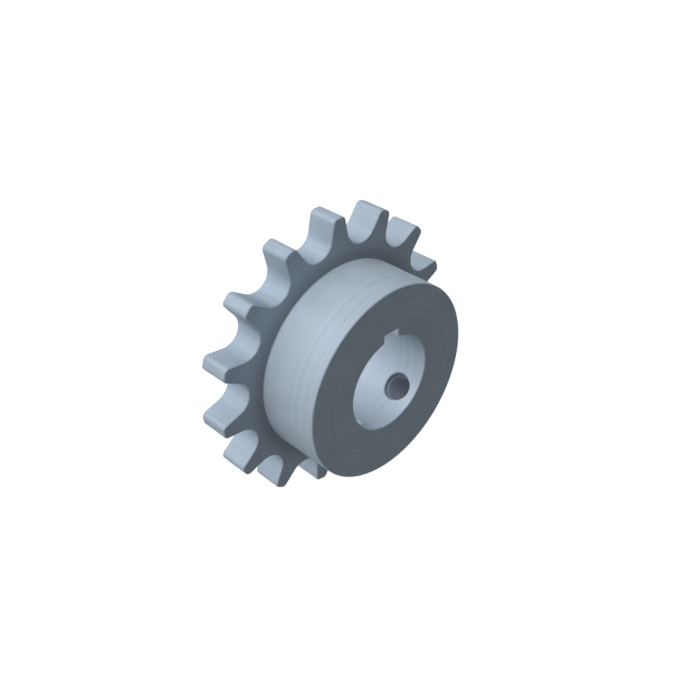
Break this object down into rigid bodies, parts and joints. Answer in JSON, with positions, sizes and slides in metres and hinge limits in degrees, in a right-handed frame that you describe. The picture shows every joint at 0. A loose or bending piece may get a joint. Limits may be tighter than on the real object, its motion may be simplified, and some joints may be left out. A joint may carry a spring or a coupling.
{
  "type": "chain sprocket",
  "caption": "Roller-chain sprocket: a toothed steel plate with a cylindrical hub on one side, a keyed through bore and tapped set-screw holes in the hub.",
  "frame": {"origin": "centre of the bore in the plate's flat back face, on which the sprocket lies", "axes": "+Z along the bore's axis from the back face to the hub's end; +Y through the middle of the keyway and of the tooth above it"},
  "size_m": [0.0672, 0.0668, 0.0222],
  "materials": {
    "steel": "machined steel, fine turning marks, satin"
  },
  "bodies": {
    "root": {"sprocket": "steel"}
  },
  "joints": []
}
